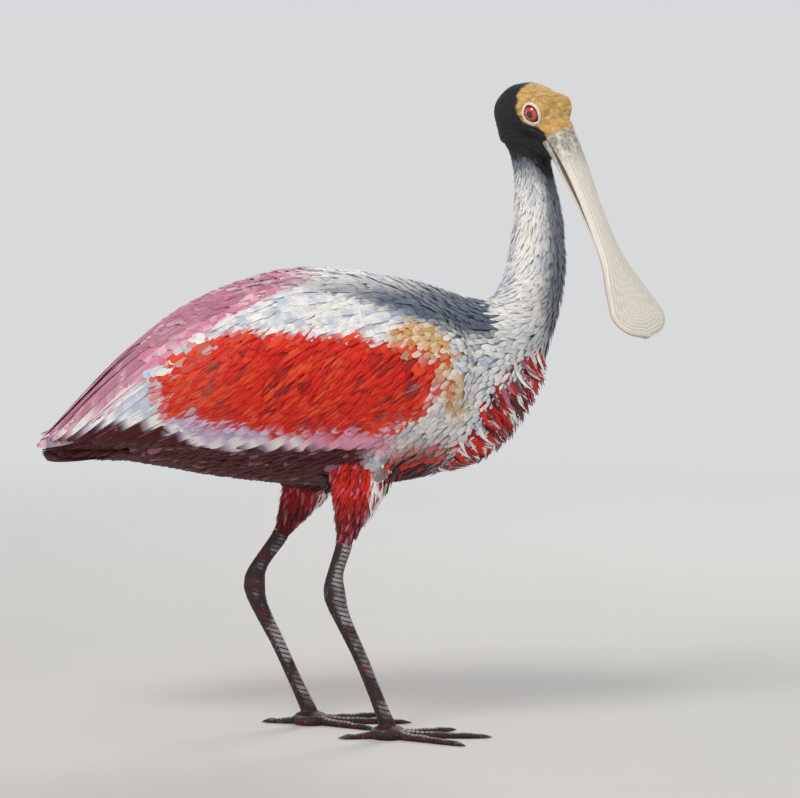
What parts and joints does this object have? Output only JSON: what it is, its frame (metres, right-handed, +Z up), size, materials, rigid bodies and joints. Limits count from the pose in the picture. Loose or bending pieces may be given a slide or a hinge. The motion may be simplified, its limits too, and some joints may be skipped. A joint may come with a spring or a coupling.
{
  "type": "roseate spoonbill",
  "caption": "Still, life-size standing wading bird with a long spoon-ended bill, folded rosy wings, a pale neck and a bare buff and black head.",
  "frame": {"origin": "on the ground, under the middle of the bird's own box", "axes": "+X the way the bird faces, +Y its left side, +Z up"},
  "size_m": [0.4956, 0.1732, 0.515],
  "materials": {
    "body_plumage": "matt overlapping feathers, white with grey and rose",
    "neck_plumage": "short soft white feathers with blue-grey shading",
    "wing_plumage": "scarlet and pink overlapping feathers",
    "tail_plumage": "long smooth feathers",
    "plume": "soft curled red and maroon feathers",
    "bare_head": "bare wrinkled buff skin with a black band",
    "bill": "pale ridged horn, slightly waxy",
    "eye": "wet and glossy",
    "leg_skin": "dark scaled skin, satin",
    "claw": "dark polished horn"
  },
  "bodies": {
    "root": {"trunk": "body_plumage", "neck_lower": "neck_plumage", "neck_upper": "neck_plumage", "head": "bare_head", "eye_left": "eye", "eye_right": "eye", "bill_upper": "bill", "bill_lower": "bill", "tail": "tail_plumage", "wing_left": "wing_plumage", "wing_right": "wing_plumage", "breast_plume": "plume", "thigh_left": "plume", "thigh_right": "plume", "shank_left": "leg_skin", "shank_right": "leg_skin", "tarsus_left": "leg_skin", "tarsus_right": "leg_skin", "foot_left": "leg_skin", "foot_right": "leg_skin", "toe_left_inner": "leg_skin", "toe_left_middle": "leg_skin", "toe_left_outer": "leg_skin", "toe_left_hind": "leg_skin", "toe_right_inner": "leg_skin", "toe_right_middle": "leg_skin", "toe_right_outer": "leg_skin", "toe_right_hind": "leg_skin", "web_left_inner": "leg_skin", "web_left_outer": "leg_skin", "web_right_inner": "leg_skin", "web_right_outer": "leg_skin", "claw_left_inner": "claw", "claw_left_middle": "claw", "claw_left_outer": "claw", "claw_left_hind": "claw", "claw_right_inner": "claw", "claw_right_middle": "claw", "claw_right_outer": "claw", "claw_right_hind": "claw"}
  },
  "joints": []
}
